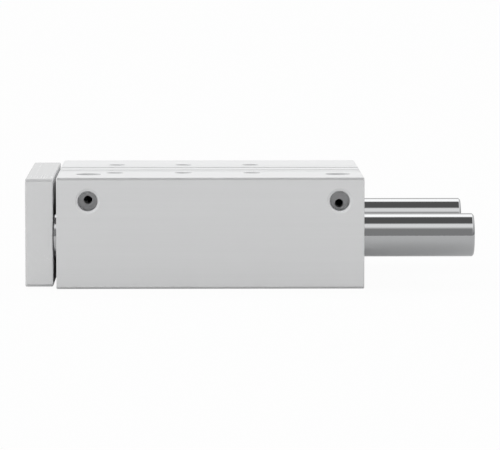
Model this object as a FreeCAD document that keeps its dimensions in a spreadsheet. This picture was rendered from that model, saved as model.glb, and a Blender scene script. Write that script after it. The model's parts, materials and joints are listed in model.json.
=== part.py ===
# Guided pneumatic cylinder: 50 mm piston, 100 mm stroke, two 25 mm guide rods.
#
# Millimetres. +X is the way the yoke plate moves out, +Z is up, and left is +Y.
# The origin is the middle of the housing's bottom face. The piston is drawn back.
import FreeCAD, Part
import os
import re

import Sketcher
from FreeCAD import Placement, Rotation, Vector

SIZES = {
    # Housing block
    "housing_length": 177.0,
    "housing_width": 148.0,
    "housing_height": 64.0,
    "long_edge_chamfer": 1.3,
    "end_edge_chamfer": 0.4,
    "axis_height": 29.5,
    "mouth_chamfer": 0.8,
    "drill_tip": 2.5,
    # Piston bore and its two cap seats
    "bore_dia": 50.0,
    "seat_dia": 51.0,
    "front_seat_depth": 15.0,
    "rear_seat_depth": 12.0,
    "ring_inset": 3.0,
    "ring_groove_dia": 54.0,
    "ring_groove_width": 2.2,
    # Guide bores
    "guide_spacing": 112.0,
    "guide_bore_dia": 30.0,
    "guide_bore_depth": 142.0,
    "guide_exit_dia": 27.0,
    "wiper_seat_dia": 32.0,
    "wiper_seat_depth": 6.0,
    # Sensor slots and the marking grooves beside them
    "slot_spacing": 20.0,
    "slot_mouth": 5.2,
    "slot_width": 7.6,
    "slot_lip": 1.8,
    "slot_depth": 5.8,
    "mark_spacing": 45.0,
    "mark_width": 1.6,
    "mark_depth": 0.4,
    # Mounting holes
    "mount_inset": 33.0,
    "mount_pitch": 40.0,
    "mount_spacing": 66.0,
    "mount_hole_dia": 8.5,
    "mount_mouth_dia": 10.0,
    "mount_mouth_depth": 2.0,
    # Air ports
    "port_dia": 11.6,
    "port_depth": 11.0,
    "port_height": 50.6,
    "port_flare": 1.5,
    "port_flare_depth": 0.7,
    "front_port_inset": 18.0,
    "rear_port_inset": 14.2,
    "rear_passage_drop": 2.1,
    "top_port_offset": 44.0,
    "passage_dia": 5.0,
    "passage_reach": 10.0,
    "plug_dia": 11.5,
    "plug_length": 8.0,
    "plug_seat_dia": 14.6,
    "plug_seat_depth": 2.0,
    "plug_socket": 6.0,
    "plug_socket_depth": 4.5,
    # Yoke plate
    "plate_gap": 2.0,
    "plate_thickness": 16.0,
    "plate_width": 140.0,
    "plate_height": 62.0,
    "plate_inset": 1.0,
    "plate_chamfer": 1.5,
    "plate_hole_dia": 8.5,
    "plate_hole_width": 120.0,
    "plate_hole_height": 40.0,
    # Screws of the yoke plate
    "screw_dia": 9.9,
    "screw_length": 25.0,
    "screw_head_dia": 16.0,
    "screw_head_height": 10.0,
    "screw_socket": 8.0,
    "screw_socket_depth": 5.0,
    "screw_hole_dia": 11.0,
    "head_recess_dia": 17.5,
    "head_recess_depth": 10.6,
    "tap_dia": 10.0,
    "tap_depth": 23.0,
    # Guide rods, their bushes and wipers
    "guide_rod_dia": 25.0,
    "guide_rod_reach": 64.0,
    "rod_chamfer": 1.0,
    "centre_dia": 5.0,
    "centre_depth": 3.0,
    "running_play": 0.06,
    "seat_play": 0.04,
    "guide_bush_length": 40.0,
    "front_bush_inset": 7.0,
    "rear_bush_inset": 100.0,
    "bush_chamfer": 0.8,
    "wiper_inset": 0.6,
    "wiper_length": 5.2,
    "lip_play": 0.3,
    # Piston rod and its bearing cap
    "piston_rod_dia": 20.0,
    "cap_length": 22.0,
    "cap_play": 0.1,
    "spigot_dia": 42.0,
    "rod_bush_dia": 23.0,
    "rod_seal_dia": 28.0,
    "rod_seal_length": 5.0,
    "rod_seal_pocket": 5.8,
    "cap_chamfer": 0.8,
    # O-rings of the two caps
    "o_ring_section": 2.3,
    "o_ring_groove": 3.0,
    "o_ring_floor_dia": 46.1,
    "cap_groove_inset": 3.2,
    "end_groove_inset": 1.8,
    # Elastic stops
    "buffer_seat": 1.0,
    "front_buffer_dia": 38.0,
    "front_buffer_hole": 25.0,
    "front_buffer_length": 4.0,
    "rear_buffer_dia": 34.0,
    "rear_buffer_length": 5.0,
    "buffer_chamfer": 1.0,
    "stop_gap": 0.4,
    # Retaining rings
    "ring_dia": 53.8,
    "ring_hole": 46.0,
    "ring_thickness": 2.0,
    "ring_gap": 9.0,
    "lug_dia": 6.4,
    "lug_radius": 21.6,
    "lug_offset": 7.0,
    "lug_hole_dia": 2.5,
    # Piston
    "piston_dia": 49.2,
    "piston_length": 30.0,
    "front_half_length": 12.5,
    "magnet_start": 10.0,
    "magnet_end": 15.0,
    "magnet_seat_dia": 42.0,
    "magnet_dia": 48.6,
    "magnet_play": 0.2,
    "seal_groove_dia": 40.0,
    "seal_groove_width": 5.0,
    "seal_inset": 2.5,
    "seal_dia": 49.6,
    "seal_length": 4.6,
    "guide_groove_start": 17.0,
    "guide_groove_width": 4.0,
    "guide_groove_dia": 46.0,
    "guide_ring_dia": 49.8,
    "journal_dia": 14.0,
    "journal_chamfer": 1.0,
    "nut_width": 21.0,
    "nut_height": 8.0,
    "nut_recess_dia": 26.0,
    "nut_recess_depth": 9.0,
}

doc = FreeCAD.newDocument("GuidedCylinder")
sheet = doc.addObject("Spreadsheet::Sheet", "Sizes")
for row, (alias, value) in enumerate(SIZES.items(), 1):
    sheet.set(f"A{row}", alias)
    sheet.set(f"B{row}", str(value))
    sheet.setAlias(f"B{row}", alias)
doc.recompute()

# Places along X that several pieces share
FRONT = "housing_length / 2"
REAR = "-housing_length / 2"
PLATE_BACK = f"({FRONT} + plate_gap)"
RING_DEPTH = "(ring_inset + ring_groove_width)"
CAP_FACE = f"({FRONT} - {RING_DEPTH})"
END_CAP_FACE = f"({REAR} + {RING_DEPTH})"
PISTON_BACK = f"({REAR} + rear_seat_depth + rear_buffer_length - buffer_seat + stop_gap)"
PISTON_FRONT = f"({PISTON_BACK} + piston_length)"

SIDES = {"left": "guide_spacing / 2", "right": "-guide_spacing / 2"}
PORTS = {
    "front": (f"{FRONT} - front_port_inset", "port_height"),
    "rear": (f"{REAR} + rear_port_inset", "(port_height - rear_passage_drop)"),
}


def bound(formula):
    """The formula with each size's name turned into its cell."""
    return re.sub(r"[a-z]\w+", lambda word: cell(word.group()), formula)


def cell(word):
    """A size's cell, or the word itself if it isn't a size."""
    return f"Sizes.{word}" if word in SIZES else word


def size(formula):
    """The formula's value in millimetres."""
    return float(sheet.evalExpression(bound(formula)))


def new_body(label, x="0", y="0", z="0"):
    """An empty body whose place follows three formulas."""
    body = doc.addObject("PartDesign::Body", label)
    body.Label = label
    place(body, x, y, z)
    return body


def place(piece, x, y, z):
    """Binds a piece's place to three formulas."""
    for axis, formula in zip("xyz", (x, y, z)):
        piece.setExpression(f"Placement.Base.{axis}", bound(formula))


def new_sketch(body, role, offset="0"):
    """A sketch on one of the body's own origin planes, moved along the plane's normal."""
    plane = next(feature for feature in body.Origin.OriginFeatures if feature.Role == role)
    sketch = body.newObject("Sketcher::SketchObject", f"{body.Label}_sketch")
    sketch.AttachmentSupport = [(plane, "")]
    sketch.MapMode = "FlatFace"
    sketch.setExpression("AttachmentOffset.Base.z", bound(offset))
    return sketch


def pin(sketch, geometry, point, x, y):
    """Holds one point of a sketch at two formulas from the sketch's origin."""
    for kind, formula, axis in (("DistanceX", x, -2), ("DistanceY", y, -1)):
        if formula == "0":
            sketch.addConstraint(Sketcher.Constraint("PointOnObject", geometry, point, axis))
            continue
        number = sketch.addConstraint(
            Sketcher.Constraint(kind, -1, 1, geometry, point, size(formula)))
        sketch.setExpression(f"Constraints[{number}]", bound(formula))


def outline(sketch, points):
    """A closed outline of straight lines through points given as formulas."""
    corners = [Vector(size(x), size(y), 0) for x, y in points]
    count = len(points)
    first = sketch.GeometryCount
    for number, corner in enumerate(corners):
        sketch.addGeometry(Part.LineSegment(corner, corners[(number + 1) % count]))
    for number, (x, y) in enumerate(points):
        following = first + (number + 1) % count
        sketch.addConstraint(Sketcher.Constraint("Coincident", first + number, 2, following, 1))
        pin(sketch, first + number, 1, x, y)


def rectangle(sketch, x0, y0, x1, y1):
    """A rectangle between two opposite corners."""
    outline(sketch, [(x0, y0), (x1, y0), (x1, y1), (x0, y1)])


def hexagon(sketch, width):
    """A hexagon about the sketch's origin, with its width across the flats."""
    flat, low, high = f"{width} / 2", f"{width} / sqrt(12)", f"{width} / sqrt(3)"
    outline(sketch, [("0", high), (f"-{flat}", low), (f"-{flat}", f"-{low}"),
                     ("0", f"-{high}"), (flat, f"-{low}"), (flat, low)])


def circle(sketch, diameter, x="0", y="0"):
    """A circle with its centre at two formulas."""
    centre = Vector(size(x), size(y), 0)
    number = sketch.addGeometry(Part.Circle(centre, Vector(0, 0, 1), size(diameter) / 2))
    pin(sketch, number, 3, x, y)
    constraint = sketch.addConstraint(
        Sketcher.Constraint("Diameter", number, size(diameter)))
    sketch.setExpression(f"Constraints[{constraint}]", bound(diameter))


def pad(body, sketch, length):
    """Grows the sketch along its normal."""
    feature = body.newObject("PartDesign::Pad", f"{body.Label}_pad")
    feature.Profile = sketch
    feature.setExpression("Length", bound(length))
    doc.recompute()
    return feature


def pocket(body, sketch, length, along_normal=False):
    """Cuts the sketch into the body, against its normal unless told otherwise."""
    before = body.Shape.Volume
    feature = body.newObject("PartDesign::Pocket", f"{body.Label}_pocket")
    feature.Profile = sketch
    feature.setExpression("Length", bound(length))
    feature.Reversed = along_normal
    doc.recompute()
    if body.Shape.Volume >= before:
        raise RuntimeError(f"{feature.Name} cuts nothing")
    return feature


def revolve(body, points, role="XY_Plane", axis="H_Axis"):
    """Turns an outline of (along, radius) points about the X axis, or another one."""
    sketch = new_sketch(body, role)
    outline(sketch, points)
    feature = body.newObject("PartDesign::Revolution", f"{body.Label}_revolution")
    feature.Profile = sketch
    feature.ReferenceAxis = (sketch, [axis])
    doc.recompute()
    return feature


def chamfer(body, amount, wanted):
    """Chamfers the edges of the body that pass a test."""
    base = body.Tip
    names = [f"Edge{number}" for number, edge in enumerate(base.Shape.Edges, 1) if wanted(edge)]
    feature = body.newObject("PartDesign::Chamfer", f"{body.Label}_chamfer")
    feature.Base = (base, names)
    feature.setExpression("Size", bound(amount))
    doc.recompute()
    return feature


def along_x(edge):
    """Whether an edge is a straight one along X."""
    return isinstance(edge.Curve, Part.Line) and abs(edge.Curve.Direction.x) > 0.999


def across_x(edge):
    """Whether an edge is a straight one across X, round an end face."""
    return isinstance(edge.Curve, Part.Line) and abs(edge.Curve.Direction.x) < 0.001


def mouth(diameter, axis, *places):
    """A test for the whole circles of a diameter that lie at some places along an axis."""
    radius = size(diameter) / 2
    spots = [size(formula) for formula in places]

    def wanted(edge):
        if not isinstance(edge.Curve, Part.Circle) or abs(edge.Curve.Radius - radius) > 0.001:
            return False
        return any(abs(getattr(edge.Curve.Center, axis) - spot) < 0.001 for spot in spots)

    return wanted


def block(body, width, height, bottom, length, start, edge):
    """A rectangular bar along X that stands on a height, with all its edges broken."""
    sketch = new_sketch(body, "YZ_Plane", start)
    rectangle(sketch, f"-{width} / 2", bottom, f"{width} / 2", f"{bottom} + {height}")
    pad(body, sketch, length)
    chamfer(body, edge, along_x)
    chamfer(body, "end_edge_chamfer", across_x)


def housing():
    """Extruded block with its bores, seats, slots, ports and mounting holes."""
    body = new_body("housing")
    block(body, "housing_width", "housing_height", "0", "housing_length", REAR,
          "long_edge_chamfer")
    cut_slots(body)
    cut_piston_bore(body)
    cut_guide_bores(body)
    cut_mounting_holes(body)
    cut_ports(body)
    return body


def cut_slots(body):
    """Two T slots for sensors along the top, and a shallow marking groove outside each."""
    top = "housing_height"
    marks = new_sketch(body, "YZ_Plane", FRONT)
    slots = new_sketch(body, "YZ_Plane", FRONT)
    lip, floor = f"{top} - slot_lip", f"{top} - slot_depth"
    near, far = "slot_mouth / 2", "slot_width / 2"
    for side in ("", "-"):
        mark, middle = f"{side}mark_spacing / 2", f"{side}slot_spacing / 2"
        rectangle(marks, f"{mark} - mark_width / 2", f"{top} - mark_depth",
                  f"{mark} + mark_width / 2", top)
        outline(slots, [
            (f"{middle} - {near}", top), (f"{middle} + {near}", top),
            (f"{middle} + {near}", lip), (f"{middle} + {far}", lip),
            (f"{middle} + {far}", floor), (f"{middle} - {far}", floor),
            (f"{middle} - {far}", lip), (f"{middle} - {near}", lip)])
    pocket(body, marks, "housing_length")
    pocket(body, slots, "housing_length")


def bore(body, diameter, depth, start=FRONT, rows=("0",), from_rear=False):
    """Round bores along X at one or more places across the housing."""
    sketch = new_sketch(body, "YZ_Plane", start)
    for row in rows:
        circle(sketch, diameter, row, "axis_height")
    pocket(body, sketch, depth, along_normal=from_rear)


def cut_piston_bore(body):
    """Piston bore, the seats of its two caps and the grooves of their rings."""
    bore(body, "bore_dia", "housing_length")
    bore(body, "seat_dia", "front_seat_depth")
    bore(body, "seat_dia", "rear_seat_depth", REAR, from_rear=True)
    bore(body, "ring_groove_dia", "ring_groove_width", f"{FRONT} - ring_inset")
    bore(body, "ring_groove_dia", "ring_groove_width", f"{REAR} + ring_inset", from_rear=True)
    chamfer(body, "mouth_chamfer", mouth("seat_dia", "x", FRONT, REAR))


def cut_guide_bores(body):
    """Two stepped guide bores: wiper seat, bush seat and a plain exit at the rear."""
    rows = tuple(SIDES.values())
    bore(body, "guide_exit_dia", "housing_length", rows=rows)
    bore(body, "guide_bore_dia", "guide_bore_depth", rows=rows)
    bore(body, "wiper_seat_dia", "wiper_seat_depth", rows=rows)
    chamfer(body, "mouth_chamfer", mouth("guide_exit_dia", "x", REAR))


def cut_mounting_holes(body):
    """Two rows of three threaded holes right through, with a wider mouth at each end."""
    through = new_sketch(body, "XY_Plane", "housing_height")
    upper = new_sketch(body, "XY_Plane", "housing_height")
    lower = new_sketch(body, "XY_Plane")
    for number in range(3):
        x = f"{FRONT} - mount_inset - {number} * mount_pitch"
        for y in ("mount_spacing / 2", "-mount_spacing / 2"):
            circle(through, "mount_hole_dia", x, y)
            circle(upper, "mount_mouth_dia", x, y)
            circle(lower, "mount_mouth_dia", x, y)
    pocket(body, through, "housing_height")
    pocket(body, upper, "mount_mouth_depth")
    pocket(body, lower, "mount_mouth_depth", along_normal=True)


def cut_ports(body):
    """Air ports on the left side and on top, joined by passages into the piston bore."""
    side_ports = new_sketch(body, "XZ_Plane", "-housing_width / 2")
    side_passages = new_sketch(body, "XZ_Plane", "-housing_width / 2")
    top_ports = new_sketch(body, "XY_Plane", "housing_height")
    plug_seats = new_sketch(body, "XY_Plane", "housing_height")
    for x, height in PORTS.values():
        circle(side_ports, "port_dia", x, "port_height")
        circle(side_passages, "passage_dia", x, height)
        circle(top_ports, "port_dia", x, "top_port_offset")
        circle(plug_seats, "plug_seat_dia", x, "top_port_offset")
    pocket(body, side_ports, "port_depth", along_normal=True)
    pocket(body, side_passages, "housing_width / 2 - passage_reach", along_normal=True)
    pocket(body, top_ports, "port_depth")
    pocket(body, plug_seats, "plug_seat_depth")
    for x, height in PORTS.values():
        drop = new_sketch(body, "XY_Plane", "housing_height")
        circle(drop, "passage_dia", x, "top_port_offset")
        pocket(body, drop, f"housing_height - {height}")
    for x, _ in PORTS.values():
        flare(body, x)


def flare(body, x):
    """Shallow cone that opens the mouth of a side port."""
    sketch = new_sketch(body, "XY_Plane", "port_height")
    side, rim = "housing_width / 2", "port_dia / 2"
    outline(sketch, [(x, f"{side} - port_flare_depth"), (f"{x} + {rim}", f"{side} - port_flare_depth"),
                     (f"{x} + {rim} + port_flare", side), (x, side)])
    feature = body.newObject("PartDesign::Groove", f"{body.Label}_flare")
    feature.Profile = sketch
    feature.ReferenceAxis = (sketch, ["Edge4"])
    doc.recompute()


def bearing_cap():
    """Front cap: a flange with an O-ring groove, and a spigot round the rod's bush."""
    body = new_body("bearing_cap", CAP_FACE, "0", "axis_height")
    rim, floor = "(seat_dia - cap_play) / 2", "o_ring_floor_dia / 2"
    flange = f"-(front_seat_depth - {RING_DEPTH})"
    groove_start, groove_end = "-cap_groove_inset", "-(cap_groove_inset + o_ring_groove)"
    stop = "(front_buffer_dia + cap_play) / 2"
    revolve(body, [
        ("0", "rod_seal_dia / 2"), ("0", f"{rim} - cap_chamfer"), ("-cap_chamfer", rim),
        (groove_start, rim), (groove_start, floor), (groove_end, floor), (groove_end, rim),
        (flange, rim), (flange, "spigot_dia / 2"), ("-cap_length", "spigot_dia / 2"),
        ("-cap_length", stop), ("buffer_seat - cap_length", stop),
        ("buffer_seat - cap_length", "rod_bush_dia / 2"), ("-rod_seal_pocket", "rod_bush_dia / 2"),
        ("-rod_seal_pocket", "rod_seal_dia / 2")])
    return body


def end_cap():
    """Rear cap: a disc with an O-ring groove and a seat for the elastic stop."""
    body = new_body("end_cap", END_CAP_FACE, "0", "axis_height")
    rim, floor = "(seat_dia - cap_play) / 2", "o_ring_floor_dia / 2"
    inner = f"(rear_seat_depth - {RING_DEPTH})"
    groove_end = "end_groove_inset + o_ring_groove"
    stop = "(rear_buffer_dia + cap_play) / 2"
    revolve(body, [
        ("0", "0"), ("0", f"{rim} - cap_chamfer"), ("cap_chamfer", rim),
        ("end_groove_inset", rim), ("end_groove_inset", floor), (groove_end, floor),
        (groove_end, rim), (inner, rim), (inner, stop),
        (f"{inner} - buffer_seat", stop), (f"{inner} - buffer_seat", "0")])
    return body


def o_ring(label, x):
    """Round cord ring in the groove of a cap."""
    ring = doc.addObject("Part::Torus", label)
    ring.Label = label
    ring.setExpression("Radius1", bound("(o_ring_floor_dia + o_ring_section) / 2 + seat_play"))
    ring.setExpression("Radius2", bound("o_ring_section / 2"))
    ring.Placement = Placement(Vector(), Rotation(Vector(0, 1, 0), 90))
    place(ring, x, "0", "axis_height")
    return ring


def retaining_ring(label, x):
    """Open spring ring with two pierced lugs, for a groove in the bore."""
    body = new_body(label, x, "0", "axis_height")
    band = new_sketch(body, "YZ_Plane")
    circle(band, "ring_dia")
    circle(band, "ring_hole")
    pad(body, band, "ring_thickness")
    for side in ("", "-"):
        lug = new_sketch(body, "YZ_Plane")
        circle(lug, "lug_dia", f"{side}lug_offset", "lug_radius")
        pad(body, lug, "ring_thickness")
    holes = new_sketch(body, "YZ_Plane")
    rectangle(holes, "-ring_gap / 2", "lug_radius - lug_dia", "ring_gap / 2", "ring_dia")
    for side in ("", "-"):
        circle(holes, "lug_hole_dia", f"{side}lug_offset", "lug_radius")
    pocket(body, holes, "ring_thickness", along_normal=True)
    return body


def sleeve(label, inner, outer, length, edge, x, y="0"):
    """Plain ring from x rearwards, with its two outer edges chamfered."""
    body = new_body(label, x, y, "axis_height")
    revolve(body, [
        ("0", inner), ("0", f"{outer} - {edge}"), (f"-{edge}", outer),
        (f"{edge} - {length}", outer), (f"-{length}", f"{outer} - {edge}"),
        (f"-{length}", inner)])
    return body


def disc(label, radius, length, edge, x):
    """Plain disc from x forwards, with its front edge chamfered."""
    body = new_body(label, x, "0", "axis_height")
    revolve(body, [("0", "0"), ("0", radius), (f"{length} - {edge}", radius),
                   (length, f"{radius} - {edge}"), (length, "0")])
    return body


def lip_seal(label, seat, lip, length, towards, x, y="0"):
    """Grooved ring between a seat radius and a lip radius, with its groove facing one way."""
    body = new_body(label, x, y, "axis_height")
    end = f"{towards}{length}"
    wall = f"({seat} - {lip})"
    revolve(body, [
        ("0", seat), ("0", f"{lip} + 0.2 * {wall}"), (end, lip), (end, f"{lip} + 0.3 * {wall}"),
        (f"0.45 * {end}", f"{lip} + 0.5 * {wall}"), (end, f"{lip} + 0.7 * {wall}"), (end, seat)])
    return body


def guide_rod(side, y):
    """Guide rod from the back of the yoke plate, tapped at the front and centred at the rear."""
    body = new_body(f"{side}_guide_rod", PLATE_BACK, y, "axis_height")
    length = "(plate_gap + housing_length + guide_rod_reach)"
    rim = "guide_rod_dia / 2"
    revolve(body, [
        ("0", "tap_dia / 2"), ("0", f"{rim} - journal_chamfer"), ("-journal_chamfer", rim),
        (f"rod_chamfer - {length}", rim), (f"-{length}", f"{rim} - rod_chamfer"),
        (f"-{length}", "centre_dia / 2"), (f"centre_depth - {length}", "0"),
        ("-(tap_depth + drill_tip)", "0"), ("-tap_depth", "tap_dia / 2")])
    return body


def piston_rod():
    """Piston rod from the back of the yoke plate to the journal that carries the piston."""
    body = new_body("piston_rod", PLATE_BACK, "0", "axis_height")
    rim, neck = "piston_rod_dia / 2", "journal_dia / 2"
    shoulder = f"({PISTON_FRONT} - {PLATE_BACK})"
    tip = f"({shoulder} - piston_length + nut_recess_depth - nut_height)"
    revolve(body, [
        ("0", "tap_dia / 2"), ("0", f"{rim} - journal_chamfer"), ("-journal_chamfer", rim),
        (shoulder, rim), (shoulder, neck), (f"{tip} + journal_chamfer", neck),
        (tip, f"{neck} - journal_chamfer"), (tip, "0"),
        ("-(tap_depth + drill_tip)", "0"), ("-tap_depth", "tap_dia / 2")])
    return body


def piston_front_half():
    """Front disc of the piston with the front seal's groove."""
    body = new_body("piston_front_half", PISTON_FRONT, "0", "axis_height")
    rim, core, seat = "piston_dia / 2", "(journal_dia + seat_play) / 2", "magnet_seat_dia / 2"
    groove_start, groove_end = "-seal_inset", "-(seal_inset + seal_groove_width)"
    revolve(body, [
        ("0", core), ("0", rim), (groove_start, rim), (groove_start, "seal_groove_dia / 2"),
        (groove_end, "seal_groove_dia / 2"), (groove_end, rim), ("-magnet_start", rim),
        ("-magnet_start", seat), ("-front_half_length", seat), ("-front_half_length", core)])
    return body


def piston_rear_half():
    """Rear disc of the piston: guide ring's groove, rear seal's groove and the nut's recess."""
    body = new_body("piston_rear_half", PISTON_FRONT, "0", "axis_height")
    rim, core, seat = "piston_dia / 2", "(journal_dia + seat_play) / 2", "magnet_seat_dia / 2"
    guide_start, guide_end = "-guide_groove_start", "-(guide_groove_start + guide_groove_width)"
    seal_start = "(seal_inset + seal_groove_width - piston_length)"
    seal_end = "(seal_inset - piston_length)"
    recess = "(nut_recess_depth - piston_length)"
    revolve(body, [
        ("-front_half_length", core), ("-front_half_length", seat), ("-magnet_end", seat),
        ("-magnet_end", rim), (guide_start, rim), (guide_start, "guide_groove_dia / 2"),
        (guide_end, "guide_groove_dia / 2"), (guide_end, rim), (seal_start, rim),
        (seal_start, "seal_groove_dia / 2"), (seal_end, "seal_groove_dia / 2"), (seal_end, rim),
        ("-piston_length", rim), ("-piston_length", "nut_recess_dia / 2"),
        (recess, "nut_recess_dia / 2"), (recess, core)])
    return body


def piston_nut():
    """Hexagon nut that clamps the piston against the rod's shoulder."""
    body = new_body("piston_nut", f"{PISTON_BACK} + nut_recess_depth - nut_height", "0", "axis_height")
    profile = new_sketch(body, "YZ_Plane")
    hexagon(profile, "nut_width")
    circle(profile, "journal_dia + seat_play")
    pad(body, profile, "nut_height")
    return body


def cap_screw(label, y):
    """Socket head screw from the front of the yoke plate into a rod."""
    seat = f"{PLATE_BACK} + plate_thickness - head_recess_depth"
    body = new_body(label, seat, y, "axis_height")
    head, shank = "screw_head_dia / 2", "screw_dia / 2"
    revolve(body, [
        ("-screw_length", "0"), ("-screw_length", f"{shank} - journal_chamfer"),
        ("journal_chamfer - screw_length", shank), ("0", shank), ("0", head),
        ("screw_head_height - mouth_chamfer", head),
        ("screw_head_height", f"{head} - mouth_chamfer"), ("screw_head_height", "0")])
    socket = new_sketch(body, "YZ_Plane", "screw_head_height")
    hexagon(socket, "screw_socket")
    pocket(body, socket, "screw_socket_depth")
    return body


def port_plug(label, x):
    """Threaded plug with a hexagon socket, level with the floor of its seat."""
    body = new_body(label, x, "top_port_offset", "housing_height - plug_seat_depth")
    rim = "plug_dia / 2"
    revolve(body, [
        ("0", "0"), (f"{rim} - mouth_chamfer", "0"), (rim, "-mouth_chamfer"),
        (rim, "mouth_chamfer - plug_length"), (f"{rim} - mouth_chamfer", "-plug_length"),
        ("0", "-plug_length")], "XZ_Plane", "V_Axis")
    socket = new_sketch(body, "XY_Plane")
    hexagon(socket, "plug_socket")
    pocket(body, socket, "plug_socket_depth")
    return body


def yoke_plate():
    """Front plate with recessed holes for three screws and a pattern of threaded holes."""
    body = new_body("yoke_plate", PLATE_BACK)
    block(body, "plate_width", "plate_height", "plate_inset", "plate_thickness", "0",
          "plate_chamfer")
    face = "plate_thickness"
    clearance, recess = new_sketch(body, "YZ_Plane", face), new_sketch(body, "YZ_Plane", face)
    for row in ("0", *SIDES.values()):
        circle(clearance, "screw_hole_dia", row, "axis_height")
        circle(recess, "head_recess_dia", row, "axis_height")
    pocket(body, clearance, "plate_thickness")
    pocket(body, recess, "head_recess_depth")
    pattern = new_sketch(body, "YZ_Plane", face)
    middle = "plate_inset + plate_height / 2"
    for across in ("", "-"):
        for up in ("+", "-"):
            circle(pattern, "plate_hole_dia", f"{across}plate_hole_width / 2",
                   f"{middle} {up} plate_hole_height / 2")
    pocket(body, pattern, "plate_thickness")
    chamfer(body, "mouth_chamfer", mouth("plate_hole_dia", "x", face))
    chamfer(body, "end_edge_chamfer", mouth("head_recess_dia", "x", face))
    return body


def fixed_pieces():
    """Everything that stays with the housing."""
    rod = "(piston_rod_dia + running_play) / 2"
    bush_end = "(cap_length - buffer_seat - rod_seal_pocket)"
    pieces = [
        housing(), bearing_cap(), end_cap(),
        sleeve("rod_bush", rod, "(rod_bush_dia - seat_play) / 2", bush_end, "end_edge_chamfer",
               f"{CAP_FACE} - rod_seal_pocket"),
        lip_seal("rod_seal", "(rod_seal_dia - seat_play) / 2", "(piston_rod_dia + lip_play) / 2",
                 "rod_seal_length", "-", f"{CAP_FACE} - stop_gap"),
        o_ring("cap_o_ring", f"{CAP_FACE} - cap_groove_inset - o_ring_groove / 2"),
        o_ring("end_cap_o_ring", f"{END_CAP_FACE} + end_groove_inset + o_ring_groove / 2"),
        retaining_ring("front_retaining_ring", f"{CAP_FACE}"),
        retaining_ring("rear_retaining_ring", f"{END_CAP_FACE} - ring_thickness"),
        sleeve("front_buffer", "front_buffer_hole / 2", "front_buffer_dia / 2", "front_buffer_length",
               "buffer_chamfer", f"{CAP_FACE} - cap_length + buffer_seat"),
        disc("rear_buffer", "rear_buffer_dia / 2", "rear_buffer_length", "buffer_chamfer",
             f"{REAR} + rear_seat_depth - buffer_seat"),
    ]
    shaft, seat = "(guide_rod_dia + running_play) / 2", "(guide_bore_dia - seat_play) / 2"
    for side, y in SIDES.items():
        for end, inset in (("front", "front_bush_inset"), ("rear", "rear_bush_inset")):
            pieces.append(sleeve(f"{side}_{end}_guide_bush", shaft, seat, "guide_bush_length",
                                 "bush_chamfer", f"{FRONT} - {inset}", y))
        pieces.append(lip_seal(f"{side}_guide_wiper", "(wiper_seat_dia - seat_play) / 2",
                               "(guide_rod_dia + lip_play) / 2", "wiper_length", "",
                               f"{FRONT} - wiper_inset - wiper_length", y))
    for end, (x, _) in PORTS.items():
        pieces.append(port_plug(f"{end}_port_plug", x))
    return pieces


def moving_pieces():
    """Everything that moves with the piston."""
    groove_play = "(seal_groove_width - seal_length) / 2"
    seal_floor, seal_rim = "(seal_groove_dia + seat_play) / 2", "seal_dia / 2"
    pieces = [
        yoke_plate(), piston_rod(), piston_front_half(), piston_rear_half(), piston_nut(),
        lip_seal("front_piston_seal", seal_floor, seal_rim, "seal_length", "",
                 f"{PISTON_FRONT} - seal_inset - {groove_play} - seal_length"),
        lip_seal("rear_piston_seal", seal_floor, seal_rim, "seal_length", "-",
                 f"{PISTON_BACK} + seal_inset + {groove_play} + seal_length"),
        sleeve("magnet_ring", "(magnet_seat_dia + magnet_play) / 2", "magnet_dia / 2",
               "(magnet_end - magnet_start - magnet_play)", "end_edge_chamfer",
               f"{PISTON_FRONT} - magnet_start - magnet_play / 2"),
        sleeve("piston_guide_ring", "(guide_groove_dia + seat_play) / 2", "guide_ring_dia / 2",
               "(guide_groove_width - magnet_play)", "end_edge_chamfer",
               f"{PISTON_FRONT} - guide_groove_start - magnet_play / 2"),
        cap_screw("rod_screw", "0"),
    ]
    for side, y in SIDES.items():
        pieces.append(guide_rod(side, y))
        pieces.append(cap_screw(f"{side}_guide_screw", y))
    return pieces


def check(pieces):
    """Stops if anything in the document failed or a piece has no valid solid."""
    doc.recompute()
    for item in doc.Objects:
        if "Invalid" in item.State or "Error" in item.State:
            raise RuntimeError(f"{item.Label} failed: {item.State}")
    for piece in pieces:
        if piece.Shape.isNull() or not piece.Shape.isValid() or len(piece.Shape.Solids) != 1:
            raise RuntimeError(f"{piece.Label} isn't one valid solid")


def export(pieces):
    """Writes each piece to a file named after it."""
    os.makedirs("parts", exist_ok=True)
    for piece in pieces:
        piece.Shape.exportStep(f"parts/{piece.Label}.step")


all_pieces = fixed_pieces() + moving_pieces()
check(all_pieces)
export(all_pieces)
print(len(all_pieces), "pieces written")
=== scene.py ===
"""Looks of a guided cylinder: finishes, ground rods, threads, knurls, studio and camera.

Metres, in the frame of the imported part: +X is the way the yoke plate moves out, +Y is the side
with the air ports, +Z is up, and the housing stands on z = 0.
"""
import json
import logging
import math
from dataclasses import dataclass, field
from enum import Enum

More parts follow.
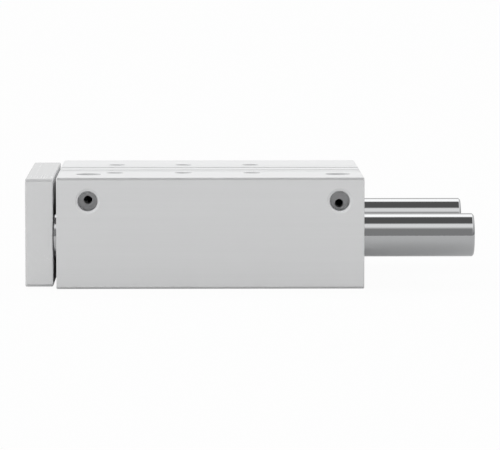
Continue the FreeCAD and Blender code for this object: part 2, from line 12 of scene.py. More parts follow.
import bmesh
import bpy
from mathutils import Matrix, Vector


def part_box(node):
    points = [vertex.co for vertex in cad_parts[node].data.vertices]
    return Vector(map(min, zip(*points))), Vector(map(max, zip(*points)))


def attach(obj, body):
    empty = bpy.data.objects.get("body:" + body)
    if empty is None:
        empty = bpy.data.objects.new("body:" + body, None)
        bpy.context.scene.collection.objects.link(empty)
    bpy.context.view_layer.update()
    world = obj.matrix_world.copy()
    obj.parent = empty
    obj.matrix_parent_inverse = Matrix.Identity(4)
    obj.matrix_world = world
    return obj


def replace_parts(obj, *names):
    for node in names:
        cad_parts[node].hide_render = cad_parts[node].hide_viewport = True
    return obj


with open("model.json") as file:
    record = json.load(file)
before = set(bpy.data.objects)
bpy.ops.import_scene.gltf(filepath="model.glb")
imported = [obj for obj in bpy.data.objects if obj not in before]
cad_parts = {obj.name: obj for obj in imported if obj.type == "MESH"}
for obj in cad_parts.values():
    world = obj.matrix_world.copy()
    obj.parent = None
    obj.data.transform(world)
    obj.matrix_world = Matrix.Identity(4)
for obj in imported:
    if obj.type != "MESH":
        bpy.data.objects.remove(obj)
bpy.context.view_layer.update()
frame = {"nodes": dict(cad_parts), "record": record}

log = logging.getLogger("guided_cylinder")
MM = 0.001
MERGE_DISTANCE = 0.0001 * MM
MOUNT_PITCH = 1.5 * MM
PORT_PITCH = 1.337 * MM
Colour = tuple[float, float, float]
Triple = tuple[float, float, float]
Socket = bpy.types.NodeSocket


class Body(Enum):
    """The two bodies of the frame."""

    HOUSING = "housing"
    CARRIAGE = "carriage"


class Slot(Enum):
    """The material slots of the part's record."""

    ANODISED = "anodised_aluminium"
    TURNED = "turned_aluminium"
    CHROME = "chromed_steel"
    ZINC = "zinc_steel"
    SPRING = "spring_steel"
    BRONZE = "bronze"
    RUBBER = "black_rubber"
    PLASTIC = "bearing_plastic"
    MAGNET = "magnet"


class Wiring:
    """Adds nodes to a tree and joins their sockets."""

    def __init__(self, tree: bpy.types.NodeTree) -> None:
        """Keeps the tree that is wired."""
        self.tree = tree

    @classmethod
    def fresh(cls, owner: bpy.types.Material | bpy.types.World) -> "Wiring":
        """Empties the node tree of a material or a world and returns its wiring."""
        owner.use_nodes = True
        owner.node_tree.nodes.clear()
        return cls(owner.node_tree)

    def sockets(self, way: str, kinds: dict[str, str]) -> None:
        """Gives a node group its inputs or outputs.

        Args:
            way: INPUT or OUTPUT.
            kinds: the kinds of the sockets, by name.
        """
        for name, kind in kinds.items():
            self.tree.interface.new_socket(name=name, in_out=way, socket_type=f"NodeSocket{kind}")

    def feed(self, socket: Socket, value: object) -> None:
        """Links a socket into an input, or sets a plain value on it.

        Args:
            socket: the input.
            value: another node's output, or the value.
        """
        if isinstance(value, bpy.types.NodeSocket):
            self.tree.links.new(value, socket)
        else:
            socket.default_value = value

    def node(self, kind: str, inputs: dict | None = None, **settings: object) -> bpy.types.Node:
        """Adds a node.

        Args:
            kind: the type name of the node.
            inputs: values or outputs for its inputs, by name or by place.
            settings: the node's own properties.

        Returns:
            The new node.
        """
        made = self.tree.nodes.new(kind)
        for name, value in settings.items():
            setattr(made, name, value)
        for key, value in (inputs or {}).items():
            self.feed(made.inputs[key], value)
        return made

    def math(self, operation: str, *values: object) -> Socket:
        """Adds a Math node over one to three values and returns its output."""
        return self.node("ShaderNodeMath", dict(enumerate(values)), operation=operation).outputs[0]

    def vector(self, operation: str, *values: object) -> Socket:
        """Adds a Vector Math node over its vectors and returns its vector output."""
        made = self.node("ShaderNodeVectorMath", dict(enumerate(values)), operation=operation)
        return made.outputs[0]

    def scaled(self, value: Socket, factor: object) -> Socket:
        """Multiplies a colour or a vector by one number and returns the result."""
        inputs = {"Vector": value, "Scale": factor}
        return self.node("ShaderNodeVectorMath", inputs, operation="SCALE").outputs[0]

    def split(self, vector: Socket) -> bpy.types.NodeOutputs:
        """Takes a vector apart and returns its X, Y and Z."""
        return self.node("ShaderNodeSeparateXYZ", {0: vector}).outputs

    def noise(self, inputs: dict, **settings: object) -> Socket:
        """Adds a noise with its inputs and settings and returns its pattern of 0 to 1."""
        return self.node("ShaderNodeTexNoise", inputs, **settings).outputs["Fac"]

    def ramp(self, value: Socket, stops: list[tuple[float, float]]) -> Socket:
        """Wires a level that runs straight from stop to stop.

        Args:
            value: where on the ramp, from 0 to 1.
            stops: the places of the stops, in order, with their levels.

        Returns:
            The level.
        """
        peak = max(level for _, level in stops)
        made = self.node("ShaderNodeValToRGB", {"Fac": value})
        marks = made.color_ramp.elements
        while len(marks) < len(stops):
            marks.new(1.0)
        for mark, (place, level) in zip(marks, stops):
            mark.position = place
            mark.color = (*[level / peak] * 3, 1.0)
        return self.math("MULTIPLY", made.outputs["Color"], peak)

    def around(self, base: object, amount: object, pattern: Socket) -> Socket:
        """Lets a value swing about its base with a pattern of 0 to 1.

        Args:
            base: the value at the pattern's middle.
            amount: the whole swing.
            pattern: the pattern.

        Returns:
            The varying value.
        """
        swing = self.math("SUBTRACT", pattern, 0.5)
        return self.math("MULTIPLY_ADD", swing, amount, base)


class SharedEffect:
    """A shader node group that several finishes place with their own values."""

    name = ""
    inputs: dict[str, str] = {}
    outputs: dict[str, str] = {}
    detail = 3.0

    def __init__(self) -> None:
        """Builds the group once."""
        self.tree = bpy.data.node_groups.new(self.name, "ShaderNodeTree")
        wiring = Wiring(self.tree)
        wiring.sockets("INPUT", self.inputs)
        wiring.sockets("OUTPUT", self.outputs)
        entry = wiring.node("NodeGroupInput")
        leave = wiring.node("NodeGroupOutput")
        for name, value in self.wire(wiring, entry.outputs).items():
            wiring.feed(leave.inputs[name], value)

    def wire(self, wiring: Wiring, given: bpy.types.NodeOutputs) -> dict[str, Socket]:
        """Builds the inside of the group and returns its outputs by name."""
        raise NotImplementedError

    def place(self, wiring: Wiring, **values: object) -> bpy.types.NodeOutputs:
        """Places the group in a material.

        Args:
            wiring: the material's tree.
            values: the inputs, with _ for the spaces of their names.

        Returns:
            The outputs of the placed group.
        """
        inputs = {name.replace("_", " "): value for name, value in values.items()}
        return wiring.node("ShaderNodeGroup", inputs, node_tree=self.tree).outputs


class Grain(SharedEffect):
    """Fine grain with broad clouds in colour and roughness."""

    name = "grain"
    inputs = {"Vector": "Vector", "Colour": "Color", "Contrast": "Float", "Roughness": "Float",
              "Spread": "Float", "Fineness": "Float", "Cloud": "Float"}
    outputs = {"Colour": "Color", "Roughness": "Float", "Height": "Float"}

    def wire(self, wiring: Wiring, given: bpy.types.NodeOutputs) -> dict[str, Socket]:
        """Builds the group from a fine and a broad noise."""
        noises = {}
        for scale in ("Fineness", "Cloud"):
            noises[scale] = wiring.noise({"Vector": given["Vector"], "Scale": given[scale],
                                          "Detail": self.detail})
        both = wiring.math("MULTIPLY", wiring.math("ADD", noises["Fineness"], noises["Cloud"]), 0.5)
        return {"Colour": wiring.scaled(given["Colour"], wiring.around(1.0, given["Contrast"], both)),
                "Roughness": wiring.around(given["Roughness"], given["Spread"], both),
                "Height": noises["Fineness"]}


class Lines(SharedEffect):
    """Drawn, milled or ground lines: a noise stretched along one way."""

    name = "lines"
    inputs = {"Vector": "Vector", "Stretch": "Vector"}
    outputs = {"Lines": "Float"}

    def wire(self, wiring: Wiring, given: bpy.types.NodeOutputs) -> dict[str, Socket]:
        """Builds the group from one stretched noise."""
        place = wiring.vector("MULTIPLY", given["Vector"], given["Stretch"])
        return {"Lines": wiring.noise({"Vector": place, "Scale": 1.0, "Detail": self.detail})}


class Rings(SharedEffect):
    """Tool rings round an axis along X: they follow the length on a shaft and the radius on a face."""

    name = "rings"
    inputs = {"Vector": "Vector", "Pitch": "Float"}
    outputs = {"Rings": "Float"}
    detail = 2.0

    def wire(self, wiring: Wiring, given: bpy.types.NodeOutputs) -> dict[str, Socket]:
        """Builds the group from a noise along length plus radius."""
        place = wiring.split(given["Vector"])
        square = wiring.math("MULTIPLY", place["Y"], place["Y"])
        radius = wiring.math("SQRT", wiring.math("MULTIPLY_ADD", place["Z"], place["Z"], square))
        along = wiring.math("DIVIDE", wiring.math("ADD", radius, place["X"]), given["Pitch"])
        inputs = {"W": along, "Scale": 1.0, "Detail": self.detail}
        return {"Rings": wiring.noise(inputs, noise_dimensions="1D")}


class CutEdges(SharedEffect):
    """Where a block has been chamfered: faces that slope between its outer faces, unevenly.

    A face halfway between two outer faces has the full slope, which is scaled to 1.
    """

    name = "cut edges"
    inputs = {"Vector": "Vector", "Normal": "Vector", "Half Size": "Vector", "Width": "Float",
              "Unevenness": "Float"}
    outputs = {"Edge": "Float"}
    detail = 2.0
    slope_scale = 4.0
    swing = 0.3

    def wire(self, wiring: Wiring, given: bpy.types.NodeOutputs) -> dict[str, Socket]:
        """Builds the group from the slope of a face between the two outer faces that it lies beside."""
        place = wiring.vector("ABSOLUTE", given["Vector"])
        inset = wiring.vector("SUBTRACT", given["Half Size"], place)
        share = wiring.vector("MULTIPLY", given["Normal"], given["Normal"])
        insets = wiring.split(inset)
        shares = wiring.split(share)
        edge = 0.0
        for first, second in (("X", "Y"), ("Y", "Z"), ("Z", "X")):
            depth = wiring.math("MAXIMUM", insets[first], insets[second])
            beside = wiring.math("LESS_THAN", depth, given["Width"])
            both = wiring.math("MULTIPLY", shares[first], shares[second])
            slope = wiring.math("MULTIPLY", both, self.slope_scale)
            edge = wiring.math("MAXIMUM", wiring.math("MULTIPLY", beside, slope), edge)
        noise = wiring.noise({"Vector": given["Vector"], "Scale": given["Unevenness"],
                              "Detail": self.detail})
        return {"Edge": wiring.math("MULTIPLY", edge, wiring.around(1.0, self.swing, noise))}


@dataclass(frozen=True)
class Effects:
    """The shared effects, built once."""

    grain: Grain = field(default_factory=Grain)
    lines: Lines = field(default_factory=Lines)
    rings: Rings = field(default_factory=Rings)
    edges: CutEdges = field(default_factory=CutEdges)


@dataclass
class Surface:
    """What a finish varies over a surface."""

    colour: Socket
    roughness: Socket
    metallic: Socket | float
    height: Socket


@dataclass(frozen=True)
class Finish:
    """A finish: its colour and shader values, and the grain that all of them have."""

    name: str
    colour: Colour
    roughness: float
    metallic: float
    contrast: float = 0.06
    spread: float = 0.1
    fineness: float = 1600.0
    cloud: float = 40.0
    relief: float = 0.01 * MM
    bump: float = 0.3

    def surface(self, wiring: Wiring, effects: Effects, place: Socket) -> Surface:
        """Gives the grain of the finish.

        Args:
            wiring: the material's tree.
            effects: the shared effects.
            place: the place on the piece, from its own middle.

        Returns:
            The colour, roughness, metallic share and height.
        """
        grain = effects.grain.place(wiring, Vector=place, Colour=(*self.colour, 1.0),
                                    Contrast=self.contrast, Roughness=self.roughness,
                                    Spread=self.spread, Fineness=self.fineness, Cloud=self.cloud)
        return Surface(grain["Colour"], grain["Roughness"], self.metallic, grain["Height"])

    def material(self, effects: Effects, middle: Vector) -> bpy.types.Material:
        """Builds the material of a piece.

        Args:
            effects: the shared effects.
            middle: the middle or axis of the piece, where its pattern is centred.

        Returns:
            The material.
        """
        made = bpy.data.materials.new(self.name)
        wiring = Wiring.fresh(made)
        where = wiring.node("ShaderNodeTexCoord").outputs["Object"]
        place = wiring.node("ShaderNodeMapping", {"Vector": where, "Location": -middle}).outputs[0]
        found = self.surface(wiring, effects, place)
        relief = wiring.node("ShaderNodeBump", {"Height": found.height, "Strength": self.bump,
                                                "Distance": self.relief})
        shader = wiring.node("ShaderNodeBsdfPrincipled", {
            "Base Color": found.colour, "Roughness": found.roughness, "Metallic": found.metallic,
            "Normal": relief.outputs[0]})
        wiring.node("ShaderNodeOutputMaterial", {"Surface": shader.outputs[0]})
        return made


@dataclass(frozen=True)
class BlockFinish(Finish):
    """Blasted and anodised block with faint drawn or milled lines, and edges cut bare and smooth."""

    half_size: Triple = (1.0, 1.0, 1.0)
    stretch: Triple = (6.0, 700.0, 700.0)
    line_share: float = 0.04
    edge_width: float = 1.6 * MM
    edge_smoothing: float = 0.3
    edge_metal: float = 0.46
    edge_unevenness: float = 300.0

    def surface(self, wiring: Wiring, effects: Effects, place: Socket) -> Surface:
        """Adds the lines and the cut edges to the grain."""
        found = super().surface(wiring, effects, place)
        lines = effects.lines.place(wiring, Vector=place, Stretch=self.stretch)["Lines"]
        facing = wiring.node("ShaderNodeTexCoord").outputs["Normal"]
        edge = effects.edges.place(wiring, Vector=place, Normal=facing, Half_Size=self.half_size,
                                   Width=self.edge_width, Unevenness=self.edge_unevenness)["Edge"]
        colour = wiring.scaled(found.colour, wiring.around(1.0, self.line_share, lines))
        roughness = wiring.math("MULTIPLY_ADD", edge, -self.edge_smoothing,
                                wiring.around(found.roughness, self.line_share, lines))
        metallic = wiring.math("MULTIPLY_ADD", edge, self.edge_metal, self.metallic)
        return Surface(colour, roughness, metallic, found.height)


@dataclass(frozen=True)
class TurnedFinish(Finish):
    """Turned or ground metal: tool rings round the axis of the piece."""

    pitch: float = 0.25 * MM
    ring_share: float = 0.1

    def surface(self, wiring: Wiring, effects: Effects, place: Socket) -> Surface:
        """Adds the tool rings to the grain."""
        found = super().surface(wiring, effects, place)
        rings = effects.rings.place(wiring, Vector=place, Pitch=self.pitch)["Rings"]
        colour = wiring.scaled(found.colour, wiring.around(1.0, self.ring_share, rings))
        roughness = wiring.around(found.roughness, self.ring_share, rings)
        return Surface(colour, roughness, found.metallic, rings)


def middle_and_half(node: str) -> tuple[Vector, Vector]:
    """Measures a CAD node.

    Args:
        node: its name.

    Returns:
        The middle of its box and half of the box's size.
    """
    low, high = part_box(node)
    return (low + high) / 2, (high - low) / 2


_, HOUSING_HALF = middle_and_half("housing")
_, PLATE_HALF = middle_and_half("yoke_plate")

HOUSING_FINISH = BlockFinish(
    "anodised housing", (0.76, 0.764, 0.768), roughness=0.62, metallic=0.15, contrast=0.03,
    spread=0.08, fineness=2400.0, cloud=22.0, half_size=tuple(HOUSING_HALF))
PLATE_FINISH = BlockFinish(
    "anodised plate", (0.76, 0.764, 0.768), roughness=0.26, metallic=0.15, contrast=0.03,
    spread=0.08, fineness=2400.0, cloud=30.0, half_size=tuple(PLATE_HALF),
    stretch=(700.0, 7.0, 700.0), edge_smoothing=0.1, edge_metal=0.2)
TAPPED_FINISH = Finish("tapped aluminium", (0.68, 0.685, 0.69), roughness=0.36, metallic=1.0)
ROD_FINISH = TurnedFinish(
    "ground chrome", (0.5, 0.505, 0.512), roughness=0.07, metallic=1.0, contrast=0.015, spread=0.02,
    cloud=14.0, relief=0.001 * MM, bump=0.1, pitch=0.18 * MM, ring_share=0.02)
# The plugs are coloured well below zinc: painted shade, so that the recesses of the top ports read
# dark.
PLUG_FINISH_DARKENED_AS_SHADE = Finish("zinc plug darkened as painted shade", (0.22, 0.224, 0.23), roughness=0.46, metallic=0.8,
                     contrast=0.14)
KNURL_FINISH = Finish("knurled zinc", (0.5, 0.51, 0.525), roughness=0.38, metallic=0.9)
FINISHES = {
    Slot.TURNED: TurnedFinish("turned aluminium", (0.74, 0.745, 0.75), roughness=0.3, metallic=0.9),
    Slot.CHROME: ROD_FINISH,
    Slot.ZINC: TurnedFinish("zinc plated steel", (0.55, 0.56, 0.575), roughness=0.32, metallic=1.0,
                            contrast=0.12),
    Slot.SPRING: Finish("phosphated spring steel", (0.09, 0.09, 0.1), roughness=0.46, metallic=0.6,
                        contrast=0.25),
    Slot.BRONZE: TurnedFinish("sintered bronze", (0.6, 0.44, 0.25), roughness=0.42, metallic=1.0,
                              contrast=0.22, fineness=3200.0),
    Slot.RUBBER: Finish("black rubber", (0.022, 0.022, 0.024), roughness=0.55, metallic=0.0,
                        contrast=0.4, spread=0.16),
    Slot.PLASTIC: TurnedFinish("bearing plastic", (0.6, 0.55, 0.42), roughness=0.5, metallic=0.0),
    Slot.MAGNET: Finish("bonded magnet", (0.07, 0.07, 0.078), roughness=0.6, metallic=0.3,
                        contrast=0.5, fineness=4200.0),
}


@dataclass
class Dresser:
    """Gives every CAD node its finish, centred on the node."""

    effects: Effects
    made: dict[tuple, bpy.types.Material] = field(default_factory=dict)

    def material(self, finish: Finish, middle: Vector) -> bpy.types.Material:
        """Finds or builds a finish for a middle, to the millimetre.

        Args:
            finish: the finish.
            middle: where its pattern is centred.

        Returns:
            The material, one for each finish and middle.
        """
        key = (finish.name, *(round(value / MM) for value in middle))
        if key not in self.made:
            self.made[key] = finish.material(self.effects, middle)
        return self.made[key]

    def dress(self, node: bpy.types.Object, finish: Finish) -> None:
        """Puts a finish on a CAD node.

        Args:
            node: the node's object.
            finish: its finish.
        """
        middle, _ = middle_and_half(node.name)
        node.data.materials.clear()
        node.data.materials.append(self.material(finish, middle))
        log.info("dressed %s in %s", node.name, finish.name)

    def dress_all(self) -> None:
        """Dresses the blocks and the plugs in their own finishes and the rest by their slots."""
        own = {"housing": HOUSING_FINISH, "yoke_plate": PLATE_FINISH, "front_port_plug": PLUG_FINISH_DARKENED_AS_SHADE,
               "rear_port_plug": PLUG_FINISH_DARKENED_AS_SHADE}
        for name, node in frame["nodes"].items():
            slot = Slot(node.data.materials[0].name)
            self.dress(node, own.get(name) or FINISHES[slot])


def link(mesh: bpy.types.Mesh, name: str) -> bpy.types.Object:
    """Puts a mesh in the scene at the origin and returns its object."""
    made = bpy.data.objects.new(name, mesh)
    bpy.context.scene.collection.objects.link(made)
    return made


def clean(mesh: bpy.types.Mesh, sharp: float) -> None:
    """Merges doubles, turns the faces outwards and shades the mesh smooth up to an angle.

    Args:
        mesh: the mesh.
        sharp: the angle past which an edge stays sharp.
    """
    shape = bmesh.new()
    shape.from_mesh(mesh)
    bmesh.ops.remove_doubles(shape, verts=shape.verts, dist=MERGE_DISTANCE)
    bmesh.ops.recalc_face_normals(shape, faces=shape.faces)
    shape.to_mesh(mesh)
    shape.free()
    mesh.shade_smooth()
    mesh.set_sharp_from_angle(angle=sharp)


def plain(source: bpy.types.Object, name: str, sharp: float) -> bpy.types.Object:
    """Turns an object with modifiers into one with a plain mesh.

    Args:
        source: the object, which is removed.
        name: the name of the new one.
        sharp: the angle past which an edge stays sharp.

    Returns:
        The new object.
    """
    graph = bpy.context.evaluated_depsgraph_get()
    mesh = bpy.data.meshes.new_from_object(source.evaluated_get(graph))
    bpy.data.objects.remove(source)
    clean(mesh, sharp)
    return link(mesh, name)


def join(piece: bpy.types.Object, body: Body) -> bpy.types.Object:
    """Lets a piece ride on a body, reports it and returns it."""
    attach(piece, body.value)
    log.info("%s: %d faces on %s", piece.name, len(piece.data.polygons), body.value)
    return piece


@dataclass
class GuideRod:
    """A ground guide rod with softened edges, in place of its CAD node."""

    node: str
    segments: int = 128
    end_chamfer: float = 1.0 * MM
    edge_hold: float = 1.0 * MM
    edge_round: float = 0.25 * MM
    round_steps: int = 3
    centre_radius: float = 2.5 * MM
    centre_depth: float = 3.0 * MM
    tap_radius: float = 5.0 * MM
    tap_depth: float = 23.0 * MM
    sharp: float = math.radians(35)

    def outline(self) -> list[tuple[float, float]]:
        """Gives the half section, from the tapped hole in the front to the centre hole behind.

        A point beside each end holds the shading of the long wall straight.

        Returns:
            Points of length along X and radius.
        """
        low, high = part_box(self.node)
        radius = (high.y - low.y) / 2
        return [(high.x - self.tap_depth, 0.0), (high.x - self.tap_depth, self.tap_radius),
                (high.x, self.tap_radius), (high.x, radius), (high.x - self.edge_hold, radius),
                (low.x + self.end_chamfer + self.edge_hold, radius),
                (low.x + self.end_chamfer, radius), (low.x, radius - self.end_chamfer),
                (low.x, self.centre_radius), (low.x + self.centre_depth, 0.0)]

    def build(self, dresser: Dresser) -> bpy.types.Object:
        """Turns the outline round the rod's axis and dresses the rod.

        Args:
            dresser: the maker of the materials.

        Returns:
            The rod.
        """
        middle, _ = middle_and_half(self.node)
        shape = bmesh.new()
        line = [shape.verts.new((x, middle.y, middle.z + radius)) for x, radius in self.outline()]
        edges = [shape.edges.new(pair) for pair in zip(line, line[1:])]
        bmesh.ops.spin(shape, geom=line + edges, cent=middle, axis=(1, 0, 0),
                       angle=math.tau, steps=self.segments, use_merge=True)
        mesh = bpy.data.meshes.new(self.node)
        shape.to_mesh(mesh)
        shape.free()
        clean(mesh, self.sharp)
        rough = link(mesh, f"{self.node}_turned")
        bevel = rough.modifiers.new("edges", "BEVEL")
        bevel.width = self.edge_round
        bevel.segments = self.round_steps
        bevel.limit_method = "ANGLE"
        bevel.angle_limit = self.sharp
        rod = plain(rough, f"{self.node}_ground", self.sharp)
        rod.data.materials.append(dresser.material(ROD_FINISH, middle))
        join(rod, Body.CARRIAGE)
        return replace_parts(rod, self.node)


class Repeat:
    """A node tree that sets one shape on points, each turned to the point's own direction."""

    name = ""
    sizes: dict[str, str] = {}
    direction = "direction"

    def __init__(self) -> None:
        """Builds the tree: the shape, its instances, real geometry and the material."""
        self.tree = bpy.data.node_groups.new(self.name, "GeometryNodeTree")
        wiring = Wiring(self.tree)
        wiring.sockets("INPUT", {"Geometry": "Geometry", "Material": "Material", **self.sizes})
        wiring.sockets("OUTPUT", {"Geometry": "Geometry"})
        given = wiring.node("NodeGroupInput").outputs
        facing = wiring.node("GeometryNodeInputNamedAttribute", {"Name": self.direction},
                             data_type="FLOAT_VECTOR").outputs["Attribute"]
        turn = wiring.node("FunctionNodeAlignRotationToVector", {"Vector": facing}, axis="Z")
        spread = wiring.node("GeometryNodeInstanceOnPoints", {
            "Points": given["Geometry"], "Instance": self.shape(wiring, given),
            "Rotation": turn.outputs[0]})
        real = wiring.node("GeometryNodeRealizeInstances", {"Geometry": spread.outputs[0]})
        coat = wiring.node("GeometryNodeSetMaterial", {"Geometry": real.outputs[0],
                                                       "Material": given["Material"]})
        wiring.node("NodeGroupOutput", {0: coat.outputs[0]})

    def shape(self, wiring: Wiring, given: bpy.types.NodeOutputs) -> Socket:
        """Builds the shape that is repeated and returns its geometry."""
        raise NotImplementedError

    def grow(self, name: str, places: list[tuple[Vector, Vector]], values: dict[str, object],
             sharp: float) -> bpy.types.Object:
        """Sets the shape on places.

        Args:
            name: the name of the piece.
            places: points, each with the direction that it faces.
            values: the sizes and the material, by the names of the tree's inputs.
            sharp: the angle past which an edge stays sharp.

        Returns:
            The piece, as one plain mesh.
        """
        mesh = bpy.data.meshes.new(name)
        mesh.from_pydata([point for point, _ in places], [], [])
        facing = mesh.attributes.new(self.direction, "FLOAT_VECTOR", "POINT")
        for number, (_, direction) in enumerate(places):
            facing.data[number].vector = direction
        points = link(mesh, f"{name}_points")
        modifier = points.modifiers.new(self.name, "NODES")
        modifier.node_group = self.tree
        for item in self.tree.interface.items_tree:
            if item.in_out == "INPUT" and item.name in values:
                modifier[item.identifier] = values[item.name]
        return plain(points, name, sharp)


class ThreadRidges(Repeat):
    """A screw thread's ridge, wound down the wall of a hole from its mouth."""

    name = "thread ridges"
    sizes = {"Radius": "Float", "Pitch": "Float", "Length": "Float", "Height": "Float", "Base": "Float",
             "Steps": "Int"}
    corners = 4

    def shape(self, wiring: Wiring, given: bpy.types.NodeOutputs) -> Socket:
        """Sweeps a flat diamond along a helix."""
        turns = wiring.math("DIVIDE", given["Length"], given["Pitch"])
        helix = wiring.node("GeometryNodeCurveSpiral", {
            "Resolution": given["Steps"], "Rotations": turns, "Start Radius": given["Radius"],
            "End Radius": given["Radius"], "Height": given["Length"]})
        upright = wiring.node("GeometryNodeSetCurveNormal", {"Curve": helix.outputs[0]}, mode="Z_UP")
        diamond = wiring.node("GeometryNodeCurvePrimitiveCircle", {"Resolution": self.corners,
                                                                   "Radius": 1.0})
        flat = wiring.node("ShaderNodeCombineXYZ", {"X": given["Height"], "Y": given["Base"], "Z": 1.0})
        section = wiring.node("GeometryNodeTransform", {"Geometry": diamond.outputs[0],
                                                        "Scale": flat.outputs[0]})
        swept = wiring.node("GeometryNodeCurveToMesh", {
            "Curve": upright.outputs[0], "Profile Curve": section.outputs[0], "Fill Caps": True})
        return swept.outputs[0]


class KnurlRing(Repeat):
    """The knurled rim of a cap screw: upright ridges round its head."""

    name = "knurl ring"
    sizes = {"Radius": "Float", "Length": "Float", "Ridge": "Float", "Ridges": "Int"}
    sides = 4

    def shape(self, wiring: Wiring, given: bpy.types.NodeOutputs) -> Socket:
        """Sets four-sided ridges on a circle, each with an edge outwards."""
        circle = wiring.node("GeometryNodeMeshCircle", {"Vertices": given["Ridges"],
                                                        "Radius": given["Radius"]})
        ridge = wiring.node("GeometryNodeMeshCylinder", {
            "Vertices": self.sides, "Radius": given["Ridge"], "Depth": given["Length"]})
        outwards = wiring.node("FunctionNodeAlignRotationToVector", {
            "Vector": wiring.node("GeometryNodeInputPosition").outputs[0]}, axis="X")
        ring = wiring.node("GeometryNodeInstanceOnPoints", {
            "Points": circle.outputs[0], "Instance": ridge.outputs["Mesh"],
            "Rotation": outwards.outputs[0]})
        return ring.outputs[0]


@dataclass
class TappedHoles:
    """Holes of the part with a screw thread, placed by the mounts of the record."""

    name: str
    mounts: tuple[str, ...]
    body: Body
    pitch: float
    length: float
    height: float = 0.32 * MM
    base: float = 0.55 * MM
    steps: int = 28
    sharp: float = math.radians(25)

    def places(self) -> list[tuple[Vector, Vector]]:
        """Finds the mouths of the holes and the way into each of them.

        Returns:
            Points at the mouths with their directions.
        """
        found = []
        for mount in frame["record"]["mounts"]:
            if mount["name"] not in self.mounts:
                continue
            axis, sizes = Vector(mount["axis"]), mount["dims"]
            mouth = Vector(mount["pos_m"]) + axis * sizes.get("length_mm", 0.0) * MM / 2
            across = Vector((0, 1, 0)) if axis.x else Vector((1, 0, 0))
            upright = Vector((0, 0, 1)) if axis.x else Vector((0, 1, 0))
            steps = [sizes.get(key, 0.0) * MM / 2 for key in ("spacing_x_mm", "spacing_y_mm")]
            offsets = {(first * steps[0], second * steps[1]) for first in (-1, 1) for second in (-1, 1)}
            for first, second in sorted(offsets):
                found.append((mouth + across * first + upright * second, -axis))
        return found

    def radius(self) -> float:
        """Gives the radius of the holes from the record."""
        sizes = next(m["dims"] for m in frame["record"]["mounts"] if m["name"] in self.mounts)
        return sizes.get("hole_r_mm", sizes.get("r_mm")) * MM

    def build(self, tree: ThreadRidges, dresser: Dresser) -> bpy.types.Object:
        """Winds the ridges into the holes.

        Args:
            tree: the tree that makes a ridge.
            dresser: the maker of the materials.

        Returns:
            The ridges of all the holes as one piece.
        """
        values = {"Radius": self.radius(), "Pitch": self.pitch, "Length": self.length,
                  "Height": self.height, "Base": self.base, "Steps": self.steps,
                  "Material": dresser.material(TAPPED_FINISH, Vector())}
        return join(tree.grow(self.name, self.places(), values, self.sharp), self.body)


@dataclass
class ScrewKnurls:
    """The knurled rims of the three cap screws that hold the yoke plate."""

    screws: tuple[str, ...] = ("rod_screw", "left_guide_screw", "right_guide_screw")
    head_height: float = 10.0 * MM
    plain_rim: float = 1.0 * MM
    ridge: float = 0.42 * MM
    ridges: int = 56
    sink: float = 0.15 * MM
    sharp: float = math.radians(25)

    def build(self, tree: KnurlRing, dresser: Dresser) -> bpy.types.Object:
        """Sets a ring of ridges round each screw head.

        Args:
            tree: the tree that makes a ring.
            dresser: the maker of the materials.

        Returns:
            The rings as one piece.
        """
        places = []
        for screw in self.screws:
            low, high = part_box(screw)
            middle = (low + high) / 2
            middle.x = high.x - self.head_height / 2 - self.plain_rim / 2
            places.append((middle, Vector((1, 0, 0))))
        low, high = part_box(self.screws[0])
        values = {"Radius": (high.y - low.y) / 2 - self.sink,
                  "Length": self.head_height - self.plain_rim, "Ridge": self.ridge,
                  "Ridges": self.ridges, "Material": dresser.material(KNURL_FINISH, Vector())}
        return join(tree.grow("screw_knurls", places, values, self.sharp), Body.CARRIAGE)


@dataclass(frozen=True)
class LightTent:
    """A soft light tent: bands of light over the part's long axis, and two plain ends.

    The bands run over the top of the part, from the horizon on the camera's side to the one behind,
    in degrees, each with its level. The ends grow brighter upwards, and the front one is the key.
    """

    bands: tuple[tuple[float, float], ...] = (
        (0, 0.36), (36, 0.36), (48, 1.28), (63, 1.28), (70, 0.15),
        (113, 0.15), (119, 1.82), (142, 1.82), (152, 0.65), (180, 0.65))
    half_turn: float = 180.0
    end_level: float = 0.5
    end_tilt: float = 0.3
    end_rise: float = 1.3
    end_from: float = 0.15
    end_full: float = 0.42

    def build(self) -> None:
        """Builds the world that the tent lights the part with."""
        world = bpy.data.worlds.new("light tent")
        bpy.context.scene.world = world
        wiring = Wiring.fresh(world)
        way = wiring.node("ShaderNodeTexCoord").outputs["Generated"]
        part = wiring.split(way)
        turn = wiring.math("DIVIDE", wiring.math("ARCTAN2", part["Z"], part["Y"]), math.pi)
        stops = [(angle / self.half_turn, level) for angle, level in self.bands]
        band = wiring.ramp(turn, stops)
        end = wiring.node("ShaderNodeMapRange", {
            "Value": wiring.math("ABSOLUTE", part["X"]), "From Min": self.end_from,
            "From Max": self.end_full}, interpolation_type="SMOOTHSTEP").outputs[0]
        tilted = wiring.math("MULTIPLY_ADD", part["X"], self.end_tilt, self.end_level)
        height = wiring.math("MAXIMUM", part["Z"], 0.0)
        level = wiring.math("MULTIPLY_ADD", height, self.end_rise, tilted)
        both = wiring.node("ShaderNodeMix", {"Factor": end, "A": band, "B": level})
        sky = wiring.node("ShaderNodeBackground", {"Color": both.outputs[0], "Strength": 1.0})
        wiring.node("ShaderNodeOutputWorld", {"Surface": sky.outputs[0]})


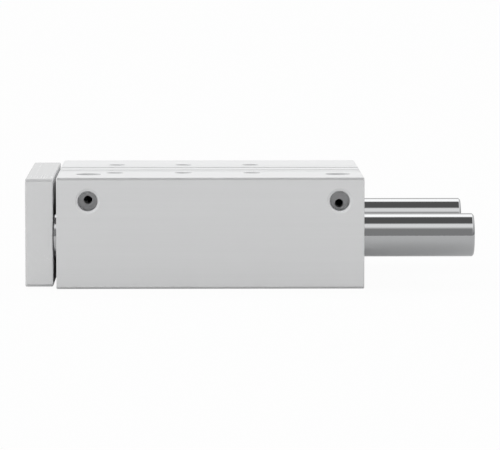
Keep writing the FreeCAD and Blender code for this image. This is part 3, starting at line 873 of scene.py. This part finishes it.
@dataclass(frozen=True)
class PaleFloor:
    """A plain pale floor that reads white to the camera and keeps the part's shadow.

    Metal shows it as that white mixed with the lit floor, so the shadow is darker there. It lies a
    hair under the part, so that the two don't share a plane.
    """

    half: float = 40.0
    drop: float = 0.05 * MM
    colour: Colour = (0.68, 0.68, 0.68)
    lift: float = 0.95
    mirror_lift: float = 0.12

    def build(self) -> None:
        """Lays the floor and paints it."""
        turns = ((-1, -1), (1, -1), (1, 1), (-1, 1))
        corners = [(x * self.half, y * self.half, -self.drop) for x, y in turns]
        mesh = bpy.data.meshes.new("floor")
        mesh.from_pydata(corners, [], [range(len(corners))])
        paint = bpy.data.materials.new("pale floor")
        wiring = Wiring.fresh(paint)
        ray = wiring.node("ShaderNodeLightPath").outputs
        seen = wiring.math("ADD", ray["Is Camera Ray"], ray["Is Transmission Ray"])
        direct = wiring.math("MULTIPLY", seen, self.lift)
        share = wiring.math("MULTIPLY_ADD", ray["Is Glossy Ray"], self.mirror_lift, direct)
        lit = wiring.node("ShaderNodeBsdfDiffuse", {"Color": (*self.colour, 1.0)})
        white = wiring.node("ShaderNodeEmission", {"Strength": 1.0})
        both = wiring.node("ShaderNodeMixShader", {0: share, 1: lit.outputs[0], 2: white.outputs[0]})
        wiring.node("ShaderNodeOutputMaterial", {"Surface": both.outputs[0]})
        mesh.materials.append(paint)
        link(mesh, "floor")


@dataclass(frozen=True)
class PhotoCamera:
    """The camera, where the photograph was taken from."""

    lens: float = 275.11
    sensor: float = 36.0
    place: Triple = (0.011068, 2.259675, 0.225430)
    pitch: float = math.radians(4.9297)
    yaw: float = math.radians(0.8859)
    clip: tuple[float, float] = (0.05, 120.0)

    def build(self) -> None:
        """Sets up the camera and the plain view."""
        optics = bpy.data.cameras.new("camera")
        optics.lens = self.lens
        optics.sensor_width = self.sensor
        optics.clip_start, optics.clip_end = self.clip
        camera = link(optics, "camera")
        level = math.cos(self.pitch)
        ahead = Vector((-math.sin(self.yaw) * level, -math.cos(self.yaw) * level,
                        -math.sin(self.pitch)))
        camera.location = self.place
        camera.rotation_euler = ahead.to_track_quat("-Z", "Y").to_euler()
        bpy.context.scene.camera = camera
        bpy.context.scene.view_settings.view_transform = "Standard"


def main() -> None:
    """Dresses the frame, adds the fine pieces and sets up the studio."""
    logging.basicConfig(level=logging.INFO, format="%(message)s")
    dresser = Dresser(Effects())
    dresser.dress_all()
    for node in ("left_guide_rod", "right_guide_rod"):
        GuideRod(node).build(dresser)
    threads = ThreadRidges()
    for holes in (
        TappedHoles("housing_mount_threads", ("base_bolts", "base_middle_bolts", "top_bolts",
                                              "top_middle_bolts"),
                    Body.HOUSING, pitch=MOUNT_PITCH, length=15.0 * MM),
        TappedHoles("housing_port_threads", ("front_side_port", "rear_side_port"), Body.HOUSING,
                    pitch=PORT_PITCH, length=8.0 * MM),
        TappedHoles("yoke_threads", ("yoke_bolts",), Body.CARRIAGE, pitch=MOUNT_PITCH,
                    length=14.0 * MM),
    ):
        holes.build(threads, dresser)
    ScrewKnurls().build(KnurlRing(), dresser)
    for part in (LightTent(), PaleFloor(), PhotoCamera()):
        part.build()


if __name__ == "__main__":
    main()
